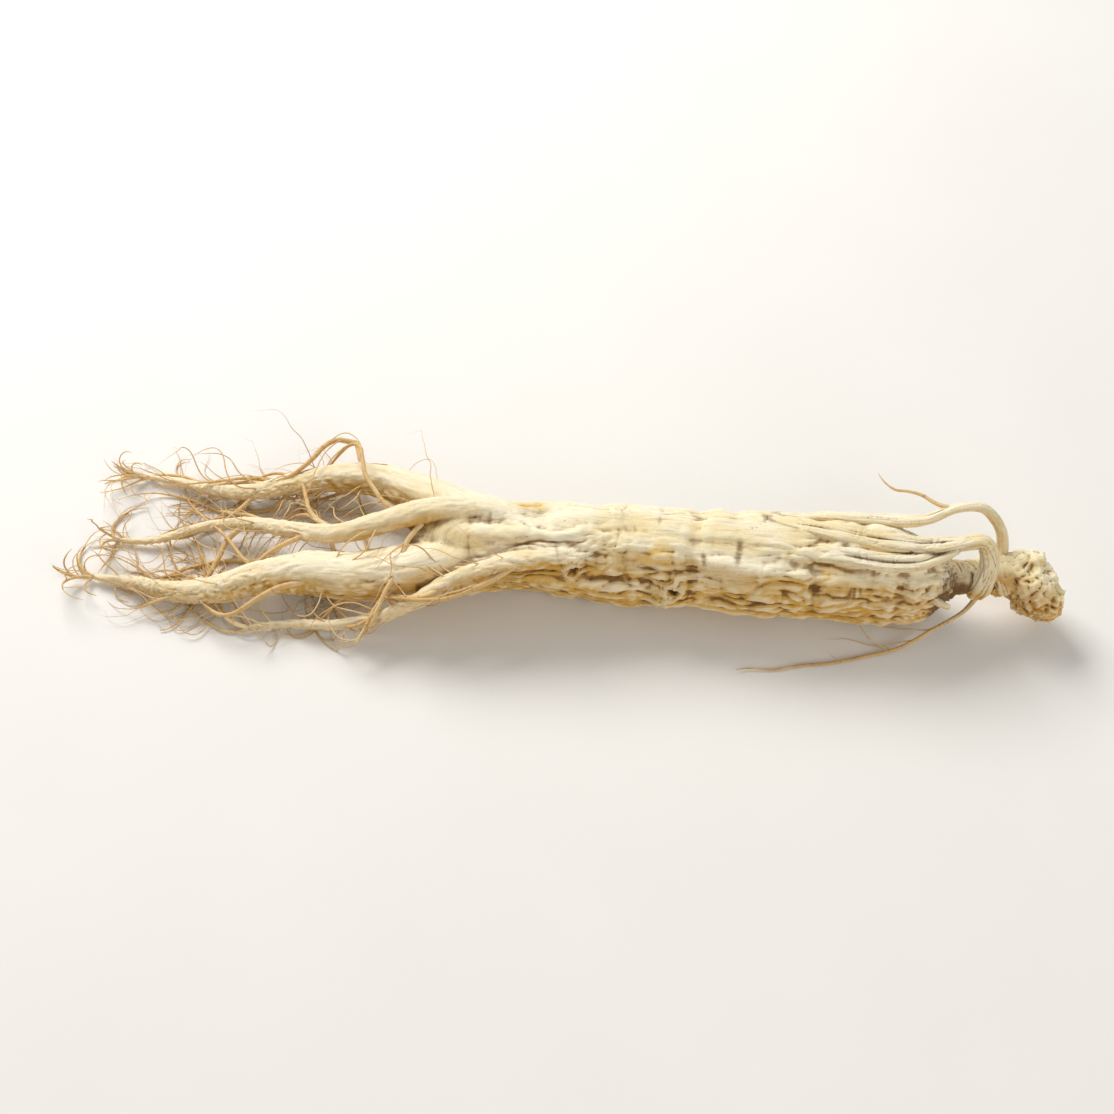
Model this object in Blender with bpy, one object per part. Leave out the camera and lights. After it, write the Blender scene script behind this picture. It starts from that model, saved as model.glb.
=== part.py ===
"""A dried white ginseng root lying on its side, with its crown towards +X and its fine tails towards -X.

The root grew as one piece, so it is one solid: the body with its folds and rings, the knobbly crown with
stem scars, the strands that grow from the neck and lie back along the body, the legs and their rootlets.
The frame has +Z up, the origin in the middle of the footprint, and the surface it lies on at z = 0.
"""

import random
from math import atan2, ceil, cos, exp, pi, sin

import bmesh
import bpy
from mathutils import Matrix, Vector, noise

# Each path is a list of points (x, y, z, radius), in metres, from its thick end to its thin end.
BODY = [
    (0.0980, 0.0016, 0.0126, 0.0044),
    (0.0942, 0.0010, 0.0127, 0.0049),
    (0.0908, 0.0006, 0.0128, 0.0080),
    (0.0860, 0.0002, 0.0128, 0.0105),
    (0.0780, 0.0002, 0.0128, 0.0121),
    (0.0640, 0.0004, 0.0127, 0.0129),
    (0.0460, 0.0004, 0.0125, 0.0129),
    (0.0280, 0.0002, 0.0123, 0.0126),
    (0.0100, -0.0002, 0.0122, 0.0125),
    (-0.0080, -0.0006, 0.0120, 0.0122),
    (-0.0220, -0.0006, 0.0116, 0.0114),
    (-0.0340, -0.0002, 0.0110, 0.0096),
    (-0.0440, 0.0000, 0.0106, 0.0060),
]
CROWN = [
    (0.0880, 0.0004, 0.0128, 0.0050),
    (0.0945, 0.0012, 0.0127, 0.0046),
    (0.1000, 0.0024, 0.0126, 0.0041),
    (0.1045, 0.0034, 0.0127, 0.0042),
    (0.1082, 0.0040, 0.0127, 0.0050),
    (0.1108, 0.0038, 0.0124, 0.0057),
    (0.1132, 0.0030, 0.0119, 0.0065),
    (0.1154, 0.0018, 0.0112, 0.0071),
    (0.1171, 0.0002, 0.0104, 0.0069),
    (0.1187, -0.0012, 0.0098, 0.0063),
    (0.1202, -0.0021, 0.0095, 0.0055),
    (0.1218, -0.0028, 0.0093, 0.0046),
    (0.1233, -0.0034, 0.0091, 0.0036),
]
CROWN_KNOBS = {
    "top": [
        (0.1108, 0.0050, 0.0148, 0.0032),
        (0.1130, 0.0056, 0.0156, 0.0038),
        (0.1150, 0.0053, 0.0156, 0.0037),
        (0.1160, 0.0048, 0.0152, 0.0032),
    ],
    "low": [
        (0.1160, 0.0002, 0.0100, 0.0050),
        (0.1172, -0.0024, 0.0087, 0.0044),
        (0.1172, -0.0042, 0.0077, 0.0033),
    ],
    "neck": [
        (0.1084, 0.0040, 0.0126, 0.0036),
        (0.1092, 0.0070, 0.0108, 0.0031),
        (0.1090, 0.0086, 0.0096, 0.0025),
    ],
}
LEGS = {
    "main": [
        (-0.0160, -0.0035, 0.0112, 0.0084),
        (-0.0320, -0.0062, 0.0106, 0.0083),
        (-0.0450, -0.0098, 0.0097, 0.0074),
        (-0.0570, -0.0118, 0.0086, 0.0064),
        (-0.0690, -0.0112, 0.0075, 0.0055),
        (-0.0810, -0.0132, 0.0064, 0.0046),
        (-0.0920, -0.0172, 0.0052, 0.0036),
        (-0.1030, -0.0182, 0.0038, 0.0026),
        (-0.1140, -0.0156, 0.0025, 0.0017),
        (-0.1240, -0.0144, 0.0014, 0.0010),
    ],
    "back": [
        (-0.0180, 0.0040, 0.0120, 0.0076),
        (-0.0320, 0.0078, 0.0116, 0.0066),
        (-0.0430, 0.0134, 0.0104, 0.0054),
        (-0.0530, 0.0180, 0.0088, 0.0045),
        (-0.0640, 0.0196, 0.0072, 0.0038),
        (-0.0760, 0.0176, 0.0056, 0.0030),
        (-0.0870, 0.0146, 0.0042, 0.0023),
        (-0.0980, 0.0144, 0.0030, 0.0017),
        (-0.1080, 0.0170, 0.0019, 0.0012),
        (-0.1160, 0.0182, 0.0012, 0.0008),
    ],
    "upper": [
        (-0.0140, 0.0020, 0.0186, 0.0046),
        (-0.0280, 0.0034, 0.0198, 0.0042),
        (-0.0410, 0.0026, 0.0190, 0.0037),
        (-0.0530, -0.0008, 0.0166, 0.0031),
        (-0.0640, -0.0024, 0.0128, 0.0026),
        (-0.0750, 0.0002, 0.0090, 0.0022),
        (-0.0870, 0.0032, 0.0058, 0.0018),
        (-0.0990, 0.0022, 0.0036, 0.0014),
        (-0.1110, -0.0020, 0.0019, 0.0010),
        (-0.1200, -0.0024, 0.0012, 0.0008),
    ],
    "side": [
        (0.0040, -0.0066, 0.0190, 0.0028),
        (-0.0060, -0.0088, 0.0206, 0.0028),
        (-0.0160, -0.0104, 0.0204, 0.0026),
        (-0.0280, -0.0138, 0.0178, 0.0024),
        (-0.0390, -0.0184, 0.0130, 0.0021),
        (-0.0490, -0.0222, 0.0080, 0.0018),
        (-0.0600, -0.0238, 0.0044, 0.0015),
        (-0.0720, -0.0236, 0.0024, 0.0012),
        (-0.0830, -0.0252, 0.0014, 0.0009),
    ],
}
STRANDS = {
    "arch_back": [
        (0.1050, 0.0042, 0.0130, 0.0017),
        (0.1072, 0.0080, 0.0156, 0.0016),
        (0.1056, 0.0112, 0.0216, 0.0015),
        (0.1002, 0.0134, 0.0270, 0.0014),
        (0.0930, 0.0124, 0.0278, 0.0014),
        (0.0850, 0.0104, 0.0244, 0.0017),
        (0.0760, 0.0112, 0.0218, 0.0021),
        (0.0640, 0.0112, 0.0210, 0.0021),
        (0.0510, 0.0110, 0.0200, 0.0016),
        (0.0420, 0.0112, 0.0184, 0.0012),
    ],
    "arch_front": [
        (0.1008, -0.0008, 0.0102, 0.0032),
        (0.1020, -0.0014, 0.0148, 0.0027),
        (0.1024, 0.0014, 0.0210, 0.0024),
        (0.0998, 0.0042, 0.0250, 0.0021),
        (0.0935, 0.0032, 0.0252, 0.0019),
        (0.0830, 0.0018, 0.0254, 0.0019),
        (0.0720, 0.0018, 0.0258, 0.0020),
        (0.0600, 0.0034, 0.0256, 0.0019),
        (0.0480, 0.0060, 0.0242, 0.0015),
        (0.0400, 0.0076, 0.0222, 0.0011),
    ],
    "low_front": [
        (0.0960, 0.0022, 0.0250, 0.0015),
        (0.0890, -0.0006, 0.0240, 0.0015),
        (0.0820, -0.0034, 0.0243, 0.0017),
        (0.0720, -0.0042, 0.0250, 0.0018),
        (0.0610, -0.0032, 0.0254, 0.0016),
        (0.0500, -0.0040, 0.0244, 0.0012),
    ],
    "nodule": [
        (0.1060, 0.0022, 0.0120, 0.0034),
        (0.1074, -0.0006, 0.0115, 0.0029),
        (0.1080, -0.0021, 0.0108, 0.0020),
    ],
    "hanging": [
        (0.1030, -0.0004, 0.0106, 0.0010),
        (0.0990, -0.0052, 0.0078, 0.0008),
        (0.0925, -0.0094, 0.0052, 0.0006),
        (0.0850, -0.0136, 0.0024, 0.0005),
        (0.0760, -0.0170, 0.0010, 0.0005),
        (0.0640, -0.0206, 0.0008, 0.0005),
        (0.0520, -0.0234, 0.0008, 0.0005),
        (0.0430, -0.0244, 0.0008, 0.0004),
    ],
    "broken_stub": [
        (0.0876, -0.0064, 0.0150, 0.0012),
        (0.0905, -0.0088, 0.0150, 0.0011),
        (0.0930, -0.0100, 0.0152, 0.0008),
    ],
}

# Sides round each kind of tube, and the spacing of its rings.
BODY_SIDES, BODY_STEP = 36, 0.0027
CROWN_SIDES, KNOB_SIDES, CROWN_STEP = 20, 10, 0.0019
LEG_SIDES, LEG_STEP = 10, 0.0052
STRAND_SIDES, STRAND_STEP = 6, 0.0050
ROOTLET_SIDES, ROOTLET_STEP = 4, 0.0052

# Relief of the body: broad lumps, lengthwise folds and rings that go part of the way round.
LUMP_HEIGHT, LUMP_LENGTH = 0.0010, 0.021
FOLD_HEIGHT, FOLD_LENGTH, FOLDS_ROUND = 0.0014, 0.030, 2.9
RING_DEPTH, RING_WIDTH = 0.0009, 0.0019
SHOULDER_RINGS = [0.0865, 0.0810, 0.0745, 0.0690]
BODY_RINGS = [0.0590, 0.0500, 0.0365, 0.0280, 0.0150, 0.0020, -0.0110, -0.0240]
REST_ANGLE_SPREAD = 0.55
KNOB_HEIGHT, KNOB_SIZE, NECK_RADIUS = 0.0022, 0.0046, 0.0040

# Scars where a root or a stem came off: (x, y, z) on the surface, radius of the rim, height of the rim.
SCARS = [
    (0.0231, -0.0130, 0.0165, 0.0026, 0.0012),
    (-0.0030, -0.0105, 0.0185, 0.0022, 0.0008),
    (0.0340, 0.0125, 0.0165, 0.0024, 0.0009),
    (0.0080, 0.0050, 0.0232, 0.0026, 0.0008),
]
STEM_CUPS = [
    (0.1256, -0.0026, 0.0104, 0.0036),
    (0.1204, 0.0066, 0.0186, 0.0032),
    (0.1196, -0.0086, 0.0052, 0.0030),
]

# Rootlets: how many on each leg, their sizes, where the longest end and how far they spread to each side.
ROOTLET_SEED = 23
ROOTLETS = {"main": 11, "back": 9, "upper": 7, "side": 5}
TIP_ROOTLETS = 3
ROOTLET_LENGTH = (0.030, 0.058)
ROOTLET_RADIUS = (0.0006, 0.0010)
ROOTLET_THINNING = 0.55
TAIL_END, TAIL_RAGGED = -0.1290, 0.020
SPREAD = 0.027
SURFACE_GAP = 0.0001
COLOUR = (0.80, 0.66, 0.42, 1.0)


def catmull_rom(before, start, end, after, t):
    """A point of the smooth curve through start and end, t of the way along."""
    a = start * 2
    b = (end - before) * t
    c = (before * 2 - start * 5 + end * 4 - after) * t**2
    d = (start * 3 - before - end * 3 + after) * t**3
    return (a + b + c + d) / 2


def smooth_path(points, step):
    """Points about step apart on one smooth curve through the given ones, each with its radius."""
    knots = [Vector(p) for p in points]
    knots = [knots[0] * 2 - knots[1], *knots, knots[-1] * 2 - knots[-2]]
    path = [knots[1]]
    for i in range(1, len(knots) - 2):
        pieces = max(1, ceil((knots[i + 1] - knots[i]).length / step))
        for k in range(1, pieces + 1):
            path.append(catmull_rom(*knots[i - 1 : i + 3], k / pieces))
    return path


def tube(name, path, sides):
    """A closed mesh object along a path, from a bevelled curve with filled caps."""
    curve = bpy.data.curves.new(name, "CURVE")
    curve.dimensions = "3D"
    curve.bevel_depth = 1.0
    curve.bevel_resolution = (sides - 4) // 2
    curve.use_fill_caps = True
    spline = curve.splines.new("POLY")
    spline.points.add(len(path) - 1)
    for point, (x, y, z, radius) in zip(spline.points, path):
        point.co = (x, y, z, 1.0)
        point.radius = radius
    source = bpy.data.objects.new(name, curve)
    bpy.context.scene.collection.objects.link(source)
    mesh = evaluated_mesh(source)
    bpy.data.objects.remove(source)
    welded = bmesh.new()
    welded.from_mesh(mesh)
    bmesh.ops.remove_doubles(welded, verts=welded.verts, dist=1e-6)
    bmesh.ops.recalc_face_normals(welded, faces=welded.faces)
    welded.to_mesh(mesh)
    welded.free()
    made = bpy.data.objects.new(name, mesh)
    bpy.context.scene.collection.objects.link(made)
    return made


def evaluated_mesh(obj):
    """The object's mesh with its modifiers applied."""
    graph = bpy.context.evaluated_depsgraph_get()
    graph.update()
    return bpy.data.meshes.new_from_object(obj.evaluated_get(graph))


def nearest_on(path, place):
    """The point of a path nearest to a place, between its rings."""
    best, nearest = None, None
    for start, end in zip(path, path[1:]):
        line = (end - start).to_3d()
        share = (place - start.to_3d()).dot(line) / line.length_squared
        found = start.lerp(end, min(1.0, max(0.0, share)))
        distance = (found.to_3d() - place).length
        if best is None or distance < best:
            best, nearest = distance, found
    return nearest


def ring_grooves(x, angle):
    """How deep the rings are here. Each runs part of the way round, a little off square."""
    depth = 0.0
    for i, ring in enumerate(SHOULDER_RINGS + BODY_RINGS):
        centre = ring + 0.0012 * sin(angle + 2.1 * i)
        reach = max(0.0, 0.45 + 0.75 * cos(angle - 1.9 * i - 0.8))
        depth += min(1.0, reach) * exp(-(((x - centre) / RING_WIDTH) ** 2))
    return min(depth, 1.0)


def body_relief(x, angle):
    """Height of the skin above the round body: lumps, lengthwise folds and rings, calmer underneath."""
    y, z = cos(angle), sin(angle)
    lumps = noise.noise(Vector((x / LUMP_LENGTH, 1.1 * y, 1.1 * z)))
    folds = noise.noise(
        Vector((x / FOLD_LENGTH + 7.0, FOLDS_ROUND * y, FOLDS_ROUND * z))
    )
    height = LUMP_HEIGHT * lumps + FOLD_HEIGHT * folds - RING_DEPTH * ring_grooves(x, angle)
    underneath = exp(-(((atan2(y, -z)) / REST_ANGLE_SPREAD) ** 2))
    return height * (1.0 - 0.8 * underneath)


def scar_relief(place):
    """A raised rim round a shallow hollow, where a side root came off."""
    height = 0.0
    for x, y, z, radius, rim in SCARS:
        distance = (place - Vector((x, y, z))).length / radius
        height += rim * (1.3 * exp(-((distance - 0.9) ** 2) / 0.18) - 0.6 * exp(-((distance / 0.5) ** 2)))
    return height


def roughen_body(obj, path):
    """Raises the relief on the body from its round tube."""
    for vertex in obj.data.vertices:
        centre = nearest_on(path, vertex.co)
        out = vertex.co - centre.to_3d()
        angle = atan2(out.z, out.y)
        height = body_relief(vertex.co.x, angle) + scar_relief(vertex.co)
        vertex.co += out.normalized() * height * min(1.0, max(0.0, centre[3] / 0.004 - 1.5))


def roughen_crown(obj, path):
    """Raises knobs of bark on the crown, more towards its head."""
    for vertex in obj.data.vertices:
        centre = nearest_on(path, vertex.co)
        out = (vertex.co - centre.to_3d()).normalized()
        knobs = noise.noise(vertex.co / KNOB_SIZE + Vector((3.0, 1.0, 5.0)))
        vertex.co += out * KNOB_HEIGHT * knobs * min(1.0, max(0.0, centre[3] / NECK_RADIUS - 1.0))


def rootlet_path(rng, start, heading, length, radius):
    """A wavy rootlet that sinks to the surface, turns towards the tail and thins as it goes."""
    steps = max(4, round(length / ROOTLET_STEP))
    place, heading = Vector(start), Vector(heading).normalized()
    turn, rise = rng.uniform(0, 2 * pi), rng.uniform(0, 2 * pi)
    sway, waves = rng.uniform(0.20, 0.55), rng.uniform(0.8, 1.6)
    end = TAIL_END + TAIL_RAGGED * rng.random()
    path = []
    for i in range(steps + 1):
        thin = radius * (1.0 - ROOTLET_THINNING * i / steps)
        place.z = max(place.z, thin + SURFACE_GAP)
        if place.x < end and i > 2:
            break
        path.append(Vector((*place, thin)))
        phase = 2 * pi * waves * i / steps
        bend = Vector((0.0, sway * sin(phase + turn), 0.4 * sway * sin(1.3 * phase + rise) - 0.15))
        place = place + (heading + bend).normalized() * (length / steps)
        inward = -0.25 * place.y / SPREAD
        heading = (heading + Vector((-0.12, inward * abs(place.y) / SPREAD, -0.04))).normalized()
    return path


def leg_rootlets(rng, path, count):
    """Rootlets along one leg, which leave it by turns to the left and to the right, with the last few at its tip."""
    made = []
    first, last = len(path) // 4, len(path) - 1
    for k in range(count):
        at_tip = k >= count - TIP_ROOTLETS
        at = last if at_tip else round(first + (last - first) * k / (count - TIP_ROOTLETS))
        here, along = path[at], (path[at] - path[at - 1]).to_3d().normalized()
        side = 1 if k % 2 else -1
        spread = rng.uniform(0.1, 0.4) if at_tip else rng.uniform(0.4, 0.9)
        out = Vector((0.0, side * spread, rng.uniform(-0.2, 0.3)))
        radius = min(rng.uniform(*ROOTLET_RADIUS), here[3] * 0.8)
        made.append(rootlet_path(rng, here.to_3d(), along + out, rng.uniform(*ROOTLET_LENGTH), radius))
    return made


def growth():
    """Everything that grows from the body, as tubes that start well inside what they grow from."""
    made = []
    rng = random.Random(ROOTLET_SEED)
    for name, points in LEGS.items():
        path = smooth_path(points, LEG_STEP)
        made.append(tube("leg_" + name, path, LEG_SIDES))
        for i, rootlet in enumerate(leg_rootlets(rng, path, ROOTLETS[name])):
            made.append(tube(f"rootlet_{name}_{i}", rootlet, ROOTLET_SIDES))
    for name, points in STRANDS.items():
        made.append(tube("strand_" + name, smooth_path(points, STRAND_STEP), STRAND_SIDES))
    for name, points in {"head": CROWN, **CROWN_KNOBS}.items():
        path = smooth_path(points, CROWN_STEP)
        made.append(tube("crown_" + name, path, CROWN_SIDES if name == "head" else KNOB_SIDES))
        roughen_crown(made[-1], path)
    return made


def apply_boolean(obj, operation, pieces):
    """Joins the pieces to the object, or cuts them from it, and removes them."""
    operands = bpy.data.collections.new("operands")
    bpy.context.scene.collection.children.link(operands)
    for piece in pieces:
        for home in piece.users_collection:
            home.objects.unlink(piece)
        operands.objects.link(piece)
    modifier = obj.modifiers.new(operation.lower(), "BOOLEAN")
    modifier.operation = operation
    modifier.operand_type = "COLLECTION"
    modifier.collection = operands
    obj.data = evaluated_mesh(obj)
    obj.modifiers.clear()
    for piece in pieces:
        bpy.data.objects.remove(piece)
    bpy.data.collections.remove(operands)


def stem_cup(x, y, z, radius):
    """A cutter for the hollow that a stem left in the crown."""
    bpy.ops.mesh.primitive_uv_sphere_add(segments=12, ring_count=8, radius=radius, location=(x, y, z))
    return bpy.context.object


def surface_cutter():
    """A slab under z = 0, which trims the root to the small flat spots that it lies on."""
    bpy.ops.mesh.primitive_cube_add(size=1.0, location=(0.0, 0.0, -0.01))
    slab = bpy.context.object
    slab.scale = (0.4, 0.2, 0.02)
    bpy.ops.object.transform_apply(location=False, rotation=False, scale=True)
    return slab


def centre_footprint(obj):
    """Moves the mesh so that the middle of its footprint is at x = y = 0."""
    middle = Vector((0.0, 0.0, 0.0))
    for axis in (0, 1):
        values = [vertex.co[axis] for vertex in obj.data.vertices]
        middle[axis] = (min(values) + max(values)) / 2
    obj.data.transform(Matrix.Translation(-middle))


def skin_material():
    """The dry, pale skin."""
    material = bpy.data.materials.new("dried_root_skin")
    material.use_nodes = True
    shader = material.node_tree.nodes["Principled BSDF"]
    shader.inputs["Base Color"].default_value = COLOUR
    shader.inputs["Roughness"].default_value = 0.8
    shader.inputs["Metallic"].default_value = 0.0
    return material


def main():
    for obj in list(bpy.data.objects):
        bpy.data.objects.remove(obj)
    body_path = smooth_path(BODY, BODY_STEP)
    root = tube("ginseng_root", body_path, BODY_SIDES)
    roughen_body(root, body_path)
    apply_boolean(root, "UNION", growth())
    apply_boolean(root, "DIFFERENCE", [stem_cup(*cup) for cup in STEM_CUPS])
    apply_boolean(root, "DIFFERENCE", [surface_cutter()])
    centre_footprint(root)
    root.data.materials.clear()
    root.data.materials.append(skin_material())
    root.data.shade_smooth()
    root.data.set_sharp_from_angle(angle=0.9)
    named = bpy.data.collections.new("ginseng root")
    bpy.context.scene.collection.children.link(named)
    bpy.context.scene.collection.objects.unlink(root)
    named.objects.link(root)


main()
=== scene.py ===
"""The looks of one dried white ginseng root on a pale floor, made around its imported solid."""

import random
from math import ceil, cos, pi, radians, sin

import bmesh
import bpy
import numpy as np
from mathutils import Matrix, Vector, kdtree, noise


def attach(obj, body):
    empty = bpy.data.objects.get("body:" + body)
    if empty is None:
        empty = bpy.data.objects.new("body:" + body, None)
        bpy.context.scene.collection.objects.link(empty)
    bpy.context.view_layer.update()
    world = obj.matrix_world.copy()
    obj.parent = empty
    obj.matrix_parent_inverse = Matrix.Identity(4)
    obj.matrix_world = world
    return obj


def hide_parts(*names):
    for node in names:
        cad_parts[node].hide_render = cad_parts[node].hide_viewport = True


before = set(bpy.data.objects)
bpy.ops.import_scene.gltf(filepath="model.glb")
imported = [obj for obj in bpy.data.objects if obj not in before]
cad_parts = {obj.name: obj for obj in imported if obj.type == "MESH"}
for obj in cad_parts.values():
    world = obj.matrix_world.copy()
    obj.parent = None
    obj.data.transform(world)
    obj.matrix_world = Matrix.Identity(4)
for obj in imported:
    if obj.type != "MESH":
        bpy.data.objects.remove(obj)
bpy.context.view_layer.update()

MM = 0.001
ROOT_NODE = "ginseng_root"
# The middle of the footprint, in the coordinates of the paths below.
FOOTPRINT_MIDDLE = (-0.004820, -0.000207, 0.0)

# Each path is a list of points (x, y, z, radius), in metres, from its thick end to its thin end.
BODY = [
    (0.0980, 0.0016, 0.0126, 0.0044), (0.0942, 0.0010, 0.0127, 0.0049),
    (0.0908, 0.0006, 0.0128, 0.0080), (0.0860, 0.0002, 0.0128, 0.0105),
    (0.0780, 0.0002, 0.0128, 0.0121), (0.0640, 0.0004, 0.0127, 0.0129),
    (0.0460, 0.0004, 0.0125, 0.0129), (0.0280, 0.0002, 0.0123, 0.0126),
    (0.0100, -0.0002, 0.0122, 0.0125), (-0.0080, -0.0006, 0.0120, 0.0122),
    (-0.0220, -0.0006, 0.0116, 0.0114), (-0.0340, -0.0002, 0.0110, 0.0096),
    (-0.0440, 0.0000, 0.0106, 0.0060),
]
CROWN = [
    (0.0880, 0.0004, 0.0128, 0.0050), (0.0945, 0.0012, 0.0127, 0.0046),
    (0.1000, 0.0024, 0.0126, 0.0041), (0.1045, 0.0034, 0.0127, 0.0042),
    (0.1082, 0.0040, 0.0127, 0.0050), (0.1108, 0.0038, 0.0124, 0.0057),
    (0.1132, 0.0030, 0.0119, 0.0065), (0.1154, 0.0018, 0.0112, 0.0071),
    (0.1171, 0.0002, 0.0104, 0.0069), (0.1187, -0.0012, 0.0098, 0.0063),
    (0.1202, -0.0021, 0.0095, 0.0055), (0.1218, -0.0028, 0.0093, 0.0046),
    (0.1233, -0.0034, 0.0091, 0.0036),
]
CROWN_KNOBS = {
    "top": [
        (0.1108, 0.0050, 0.0148, 0.0032), (0.1130, 0.0056, 0.0156, 0.0038),
        (0.1150, 0.0053, 0.0156, 0.0037), (0.1160, 0.0048, 0.0152, 0.0032),
    ],
    "low": [
        (0.1160, 0.0002, 0.0100, 0.0050), (0.1172, -0.0024, 0.0087, 0.0044),
        (0.1172, -0.0042, 0.0077, 0.0033),
    ],
    "neck": [
        (0.1084, 0.0040, 0.0126, 0.0036), (0.1092, 0.0070, 0.0108, 0.0031),
        (0.1090, 0.0086, 0.0096, 0.0025),
    ],
}
LEGS = {
    "main": [
        (-0.0160, -0.0035, 0.0112, 0.0084), (-0.0320, -0.0062, 0.0106, 0.0083),
        (-0.0450, -0.0098, 0.0097, 0.0074), (-0.0570, -0.0118, 0.0086, 0.0064),
        (-0.0690, -0.0112, 0.0075, 0.0055), (-0.0810, -0.0132, 0.0064, 0.0046),
        (-0.0920, -0.0172, 0.0052, 0.0036), (-0.1030, -0.0182, 0.0038, 0.0026),
        (-0.1140, -0.0156, 0.0025, 0.0017), (-0.1240, -0.0144, 0.0014, 0.0010),
    ],
    "back": [
        (-0.0180, 0.0040, 0.0120, 0.0076), (-0.0320, 0.0078, 0.0116, 0.0066),
        (-0.0430, 0.0134, 0.0104, 0.0054), (-0.0530, 0.0180, 0.0088, 0.0045),
        (-0.0640, 0.0196, 0.0072, 0.0038), (-0.0760, 0.0176, 0.0056, 0.0030),
        (-0.0870, 0.0146, 0.0042, 0.0023), (-0.0980, 0.0144, 0.0030, 0.0017),
        (-0.1080, 0.0170, 0.0019, 0.0012), (-0.1160, 0.0182, 0.0012, 0.0008),
    ],
    "upper": [
        (-0.0140, 0.0020, 0.0186, 0.0046), (-0.0280, 0.0034, 0.0198, 0.0042),
        (-0.0410, 0.0026, 0.0190, 0.0037), (-0.0530, -0.0008, 0.0166, 0.0031),
        (-0.0640, -0.0024, 0.0128, 0.0026), (-0.0750, 0.0002, 0.0090, 0.0022),
        (-0.0870, 0.0032, 0.0058, 0.0018), (-0.0990, 0.0022, 0.0036, 0.0014),
        (-0.1110, -0.0020, 0.0019, 0.0010), (-0.1200, -0.0024, 0.0012, 0.0008),
    ],
    "side": [
        (0.0040, -0.0066, 0.0190, 0.0028), (-0.0060, -0.0088, 0.0206, 0.0028),
        (-0.0160, -0.0104, 0.0204, 0.0026), (-0.0280, -0.0138, 0.0178, 0.0024),
        (-0.0390, -0.0184, 0.0130, 0.0021), (-0.0490, -0.0222, 0.0080, 0.0018),
        (-0.0600, -0.0238, 0.0044, 0.0015), (-0.0720, -0.0236, 0.0024, 0.0012),
        (-0.0830, -0.0252, 0.0014, 0.0009),
    ],
}
STRANDS = {
    "arch_back": [
        (0.1050, 0.0042, 0.0130, 0.0017), (0.1072, 0.0080, 0.0156, 0.0016),
        (0.1056, 0.0112, 0.0216, 0.0015), (0.1002, 0.0134, 0.0270, 0.0014),
        (0.0930, 0.0124, 0.0278, 0.0014), (0.0850, 0.0104, 0.0244, 0.0017),
        (0.0760, 0.0112, 0.0218, 0.0021), (0.0640, 0.0112, 0.0210, 0.0021),
        (0.0510, 0.0110, 0.0200, 0.0016), (0.0420, 0.0112, 0.0184, 0.0012),
    ],
    "arch_front": [
        (0.1008, -0.0008, 0.0102, 0.0032), (0.1020, -0.0014, 0.0148, 0.0027),
        (0.1024, 0.0014, 0.0210, 0.0024), (0.0998, 0.0042, 0.0250, 0.0021),
        (0.0935, 0.0032, 0.0252, 0.0019), (0.0830, 0.0018, 0.0254, 0.0019),
        (0.0720, 0.0018, 0.0258, 0.0020), (0.0600, 0.0034, 0.0256, 0.0019),
        (0.0480, 0.0060, 0.0242, 0.0015), (0.0400, 0.0076, 0.0222, 0.0011),
    ],
    "low_front": [
        (0.0968, 0.0034, 0.0250, 0.0015), (0.0890, -0.0002, 0.0242, 0.0015),
        (0.0820, -0.0034, 0.0243, 0.0017), (0.0720, -0.0042, 0.0250, 0.0018),
        (0.0610, -0.0032, 0.0254, 0.0016), (0.0500, -0.0040, 0.0244, 0.0012),
    ],
    "nodule": [
        (0.1060, 0.0022, 0.0120, 0.0034), (0.1074, -0.0006, 0.0115, 0.0029),
        (0.1080, -0.0021, 0.0108, 0.0020),
    ],
    "broken_stub": [
        (0.0876, -0.0064, 0.0150, 0.0012), (0.0905, -0.0088, 0.0150, 0.0011),
        (0.0930, -0.0100, 0.0152, 0.0008),
    ],
}

# The long rootlet that hangs from the neck to the floor, out to a fine tip.
HANGING = [
    (0.1030, -0.0004, 0.0106, 0.00085), (0.0990, -0.0052, 0.0078, 0.00060),
    (0.0950, -0.0080, 0.0064, 0.00052), (0.0905, -0.0104, 0.0046, 0.00050),
    (0.0850, -0.0136, 0.0024, 0.00048), (0.0800, -0.0156, 0.0010, 0.00046),
    (0.0730, -0.0178, 0.0006, 0.00042), (0.0655, -0.0202, 0.0005, 0.00038),
    (0.0580, -0.0216, 0.0004, 0.00034), (0.0505, -0.0236, 0.0004, 0.00026),
    (0.0440, -0.0240, 0.0006, 0.00018), (0.0408, -0.0248, 0.0008, 0.00008),
]

# A thin free rootlet that goes on from the end of the large loop.
WISP = [
    (0.0915, 0.0124, 0.0272, 0.00070), (0.0880, 0.0138, 0.0266, 0.00055),
    (0.0845, 0.0162, 0.0264, 0.00046), (0.0812, 0.0172, 0.0262, 0.00040),
    (0.0780, 0.0176, 0.0258, 0.00034), (0.0758, 0.0190, 0.0258, 0.00026),
    (0.0742, 0.0206, 0.0262, 0.00016), (0.0734, 0.0220, 0.0264, 0.00008),
]

# Relief that the solid has too: broad lumps, lengthwise folds and rings that go part of the way round.
LUMP_HEIGHT, LUMP_LENGTH = 0.0010, 0.021
FOLD_HEIGHT, FOLD_LENGTH, FOLDS_ROUND = 0.0014, 0.030, 2.9
RING_DEPTH, RING_WIDTH = 0.0009, 0.0019
SHOULDER_RINGS = [0.0865, 0.0810, 0.0745, 0.0690]
BODY_RINGS = [0.0590, 0.0500, 0.0365, 0.0280, 0.0150, 0.0020, -0.0110, -0.0240]
REST_ANGLE_SPREAD = 0.55

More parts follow.
